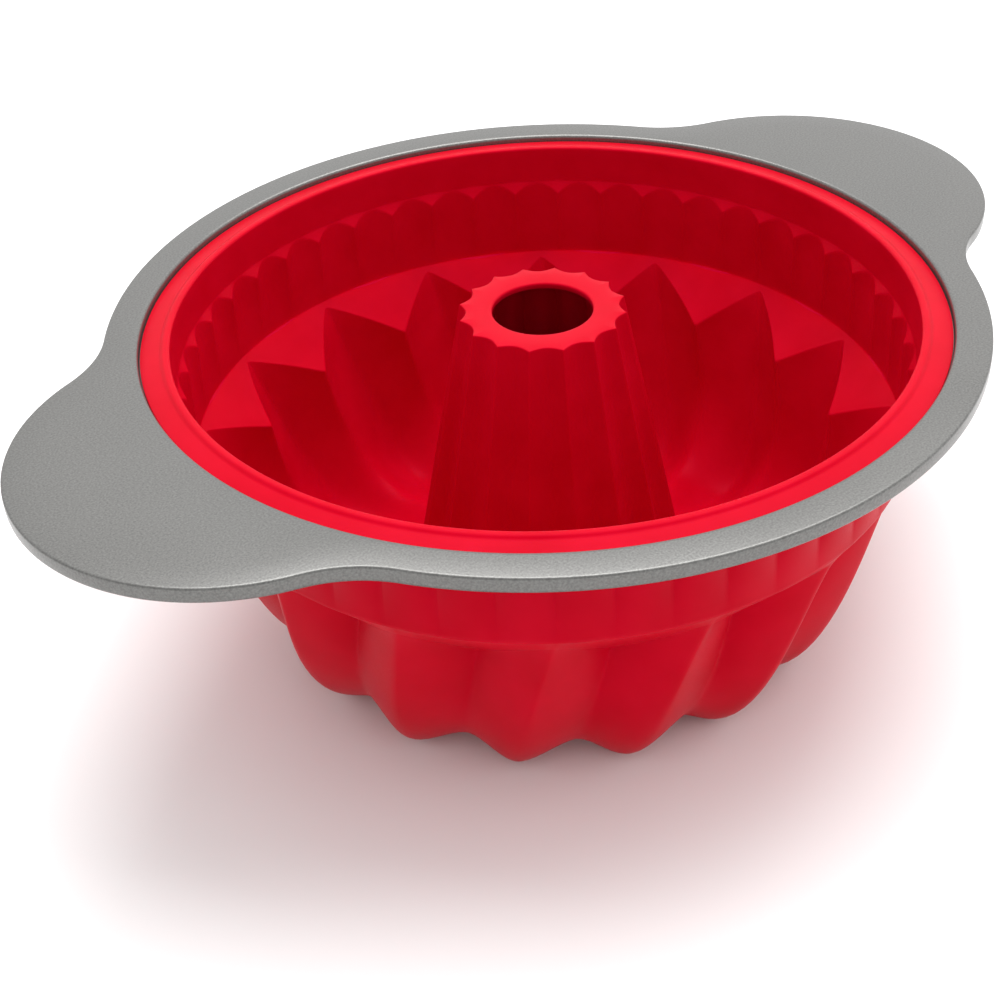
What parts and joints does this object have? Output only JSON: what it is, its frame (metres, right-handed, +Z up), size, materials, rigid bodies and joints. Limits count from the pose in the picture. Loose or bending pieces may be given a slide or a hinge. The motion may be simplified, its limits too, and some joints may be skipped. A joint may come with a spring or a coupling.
{
  "type": "bundt pan",
  "caption": "Round fluted ring-cake pan: a flexible swirled mould with a centre tube, held in a flat steel frame with two rounded handle lobes.",
  "frame": {"origin": "under the middle of the base, on the plane that the lobes stand on", "axes": "+X through the two handle lobes, +Z up out of the cake cavity"},
  "size_m": [0.3402, 0.262, 0.11],
  "materials": {
    "coated_steel": "satin grey non-stick coating with a fine speckle",
    "wire_steel": "drawn bright wire",
    "silicone": "satin red silicone rubber"
  },
  "bodies": {
    "root": {"steel_frame": "coated_steel", "rim_wire": "wire_steel", "silicone_mould": "silicone"}
  },
  "joints": []
}
